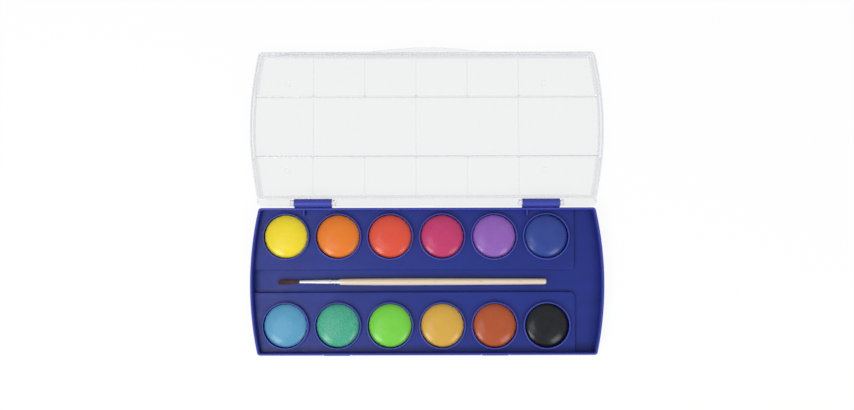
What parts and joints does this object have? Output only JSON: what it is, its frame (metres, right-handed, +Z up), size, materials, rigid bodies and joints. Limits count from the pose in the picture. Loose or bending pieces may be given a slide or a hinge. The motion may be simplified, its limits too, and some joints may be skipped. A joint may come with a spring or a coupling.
{
  "type": "watercolour paint set",
  "caption": "Flat bow-ended blue tray of round watercolour tablets with a brush in its trough, and a clear hinged lid that opens flat as a mixing palette.",
  "frame": {"origin": "middle of the tray's underside, on the surface that it stands on", "axes": "+X along the box to the right, +Y back to the hinges and the opened lid, +Z up"},
  "size_m": [0.2462, 0.2137, 0.0114],
  "materials": {
    "blue_plastic": "moulded blue plastic, satin on the decks",
    "clear_plastic": "clear moulded plastic, polished",
    "paint_yellow": "pressed pigment, matt and finely grained",
    "paint_orange": "pressed pigment, matt and finely grained",
    "paint_vermilion": "pressed pigment, matt and finely grained",
    "paint_crimson": "pressed pigment, matt and finely grained",
    "paint_violet": "pressed pigment, matt and finely grained",
    "paint_ultramarine": "pressed pigment, matt and finely grained",
    "paint_sky_blue": "pressed pigment, matt and finely grained",
    "paint_emerald": "pressed pigment, matt and finely grained",
    "paint_leaf_green": "pressed pigment, matt and finely grained",
    "paint_ochre": "pressed pigment, matt and finely grained",
    "paint_sienna": "pressed pigment, matt and finely grained",
    "paint_black": "pressed pigment, matt and finely grained",
    "bare_wood": "pale wood, lightly varnished",
    "ferrule_metal": "drawn metal tube",
    "brown_hair": "dark brown hair",
    "glue": "set glue, hidden in the ferrule"
  },
  "bodies": {
    "tray": {"tray": "blue_plastic", "paint_yellow": "paint_yellow", "paint_orange": "paint_orange", "paint_vermilion": "paint_vermilion", "paint_crimson": "paint_crimson", "paint_violet": "paint_violet", "paint_ultramarine": "paint_ultramarine", "paint_sky_blue": "paint_sky_blue", "paint_emerald": "paint_emerald", "paint_leaf_green": "paint_leaf_green", "paint_ochre": "paint_ochre", "paint_sienna": "paint_sienna", "paint_black": "paint_black"},
    "lid": {"lid": "clear_plastic"},
    "brush": {"brush_handle": "bare_wood", "brush_ferrule": "ferrule_metal", "brush_hair": "brown_hair", "brush_glue_plug": "glue"}
  },
  "joints": [
    {"name": "lid_hinge", "type": "hinge", "parent": "tray", "child": "lid", "pos_m": [0, 0.05405, 0.0085], "axis": [1, 0, 0], "range_deg": [0, 180]},
    {"name": "brush_slide", "type": "slide", "parent": "tray", "child": "brush", "axis": [1, 0, 0], "range_m": [-0.0155, 0.036]}
  ]
}
